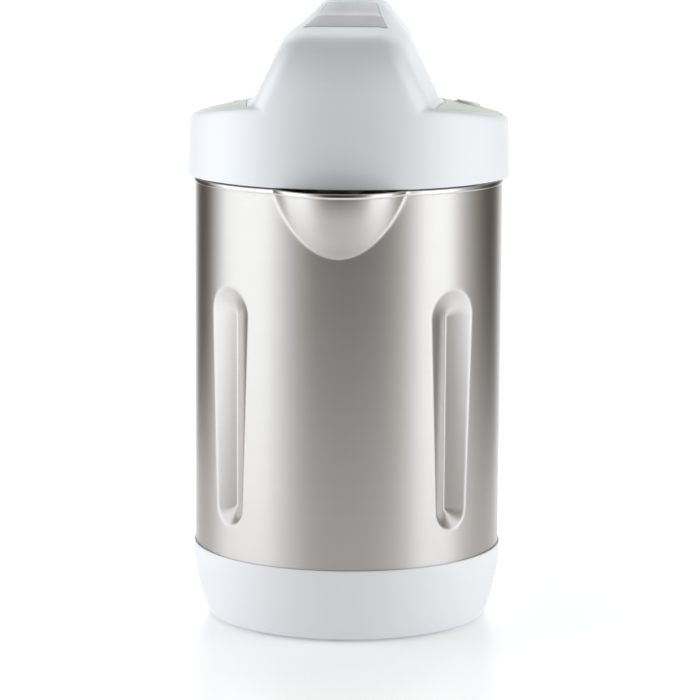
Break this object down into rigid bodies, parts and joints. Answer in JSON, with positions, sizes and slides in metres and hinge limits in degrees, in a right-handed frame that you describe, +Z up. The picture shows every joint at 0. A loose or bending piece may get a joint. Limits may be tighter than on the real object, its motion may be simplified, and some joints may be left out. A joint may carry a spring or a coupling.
{
  "type": "yogurt maker",
  "caption": "Heated double-wall stainless jug with a pouring spout, rear handle and lift-off motor head carrying a blade, probes, display and buttons.",
  "frame": {"origin": "on the jug's axis at table height, under the centre of the base; the base plate's flat face is 1.8 mm above it", "axes": "+Z up along the jug's axis, -Y towards the pouring spout, +Y towards the handle, +X to the right seen from the spout"},
  "size_m": [0.1626, 0.2266, 0.3145],
  "materials": {
    "brushed_steel": "vertically brushed satin",
    "polished_steel": "polished",
    "white_plastic": "satin cool white",
    "grey_plastic": "matt",
    "green_panel": "gloss, pale green",
    "smoked_window": "gloss, smoked",
    "lens": "gloss, milky",
    "rubber": "matt",
    "silicone": "satin, milky",
    "black_plastic": "matt",
    "aluminium": "cast",
    "dark_metal": "dark satin",
    "brass": "satin",
    "copper": "satin copper",
    "bearing_steel": "ground",
    "circuit_board": "solder mask",
    "transformer_tape": "tape",
    "relay_case": "gloss"
  },
  "bodies": {
    "jug": {"base_cup": "white_plastic", "base_plate": "grey_plastic", "coupler_pin_header": "brass", "coupler_socket": "black_plastic", "cutout_thermostat": "black_plastic", "foot_front_left": "rubber", "foot_front_right": "rubber", "foot_rear_left": "rubber", "foot_rear_right": "rubber", "handle_bracket_lower": "bearing_steel", "handle_bracket_upper": "bearing_steel", "handle_cover": "grey_plastic", "handle_grip": "white_plastic", "handle_lead": "black_plastic", "heater_plate": "aluminium", "heating_element": "dark_metal", "inlet_contacts": "brass", "inner_pot": "polished_steel", "outer_shell": "brushed_steel", "pot_temperature_sensor": "brass", "power_inlet": "black_plastic"},
    "head": {"head_shell": "white_plastic", "wing_panel_left": "green_panel", "wing_panel_right": "green_panel", "display_window": "smoked_window", "display_module": "black_plastic", "indicator_light_guide": "lens", "button_board": "circuit_board", "start_switch": "black_plastic", "select_switch": "black_plastic", "lower_cover": "polished_steel", "head_gasket": "silicone", "foam_probe": "polished_steel", "temperature_probe": "polished_steel", "shaft_column": "polished_steel", "column_bush": "brass", "shaft_seal": "rubber", "motor_stator": "dark_metal", "field_winding_lower": "copper", "field_winding_upper": "copper", "motor_bracket_lower": "aluminium", "motor_bracket_upper": "aluminium", "motor_bearing_lower": "bearing_steel", "motor_bearing_upper": "bearing_steel", "motor_mount": "grey_plastic", "brush_holder_left": "brass", "brush_holder_right": "brass", "control_board": "circuit_board", "transformer": "transformer_tape", "relay": "relay_case", "coupler_plug": "black_plastic"},
    "rotor": {"motor_shaft": "polished_steel", "rotor_core": "dark_metal", "armature_winding": "copper", "commutator": "copper", "cooling_fan": "grey_plastic", "chopping_blade": "polished_steel", "blade_nut": "polished_steel"},
    "start_button": {"start_button": "grey_plastic"},
    "select_button": {"select_button": "grey_plastic"}
  },
  "joints": [
    {"name": "head_lift", "type": "slide", "parent": "jug", "child": "head", "axis": [0, 0, 1], "range_m": [0, 0.2]},
    {"name": "blade_spin", "type": "hinge", "parent": "head", "child": "rotor", "pos_m": [0, 0, 0.226], "axis": [0, 0, 1], "continuous": true},
    {"name": "start_button_press", "type": "slide", "parent": "head", "child": "start_button", "axis": [0, 0, -1], "range_m": [0, 0.0012], "stiffness_N_per_m": 250, "springref_m": -0.001},
    {"name": "select_button_press", "type": "slide", "parent": "head", "child": "select_button", "axis": [0, 0, -1], "range_m": [0, 0.0012], "stiffness_N_per_m": 250, "springref_m": -0.001}
  ]
}
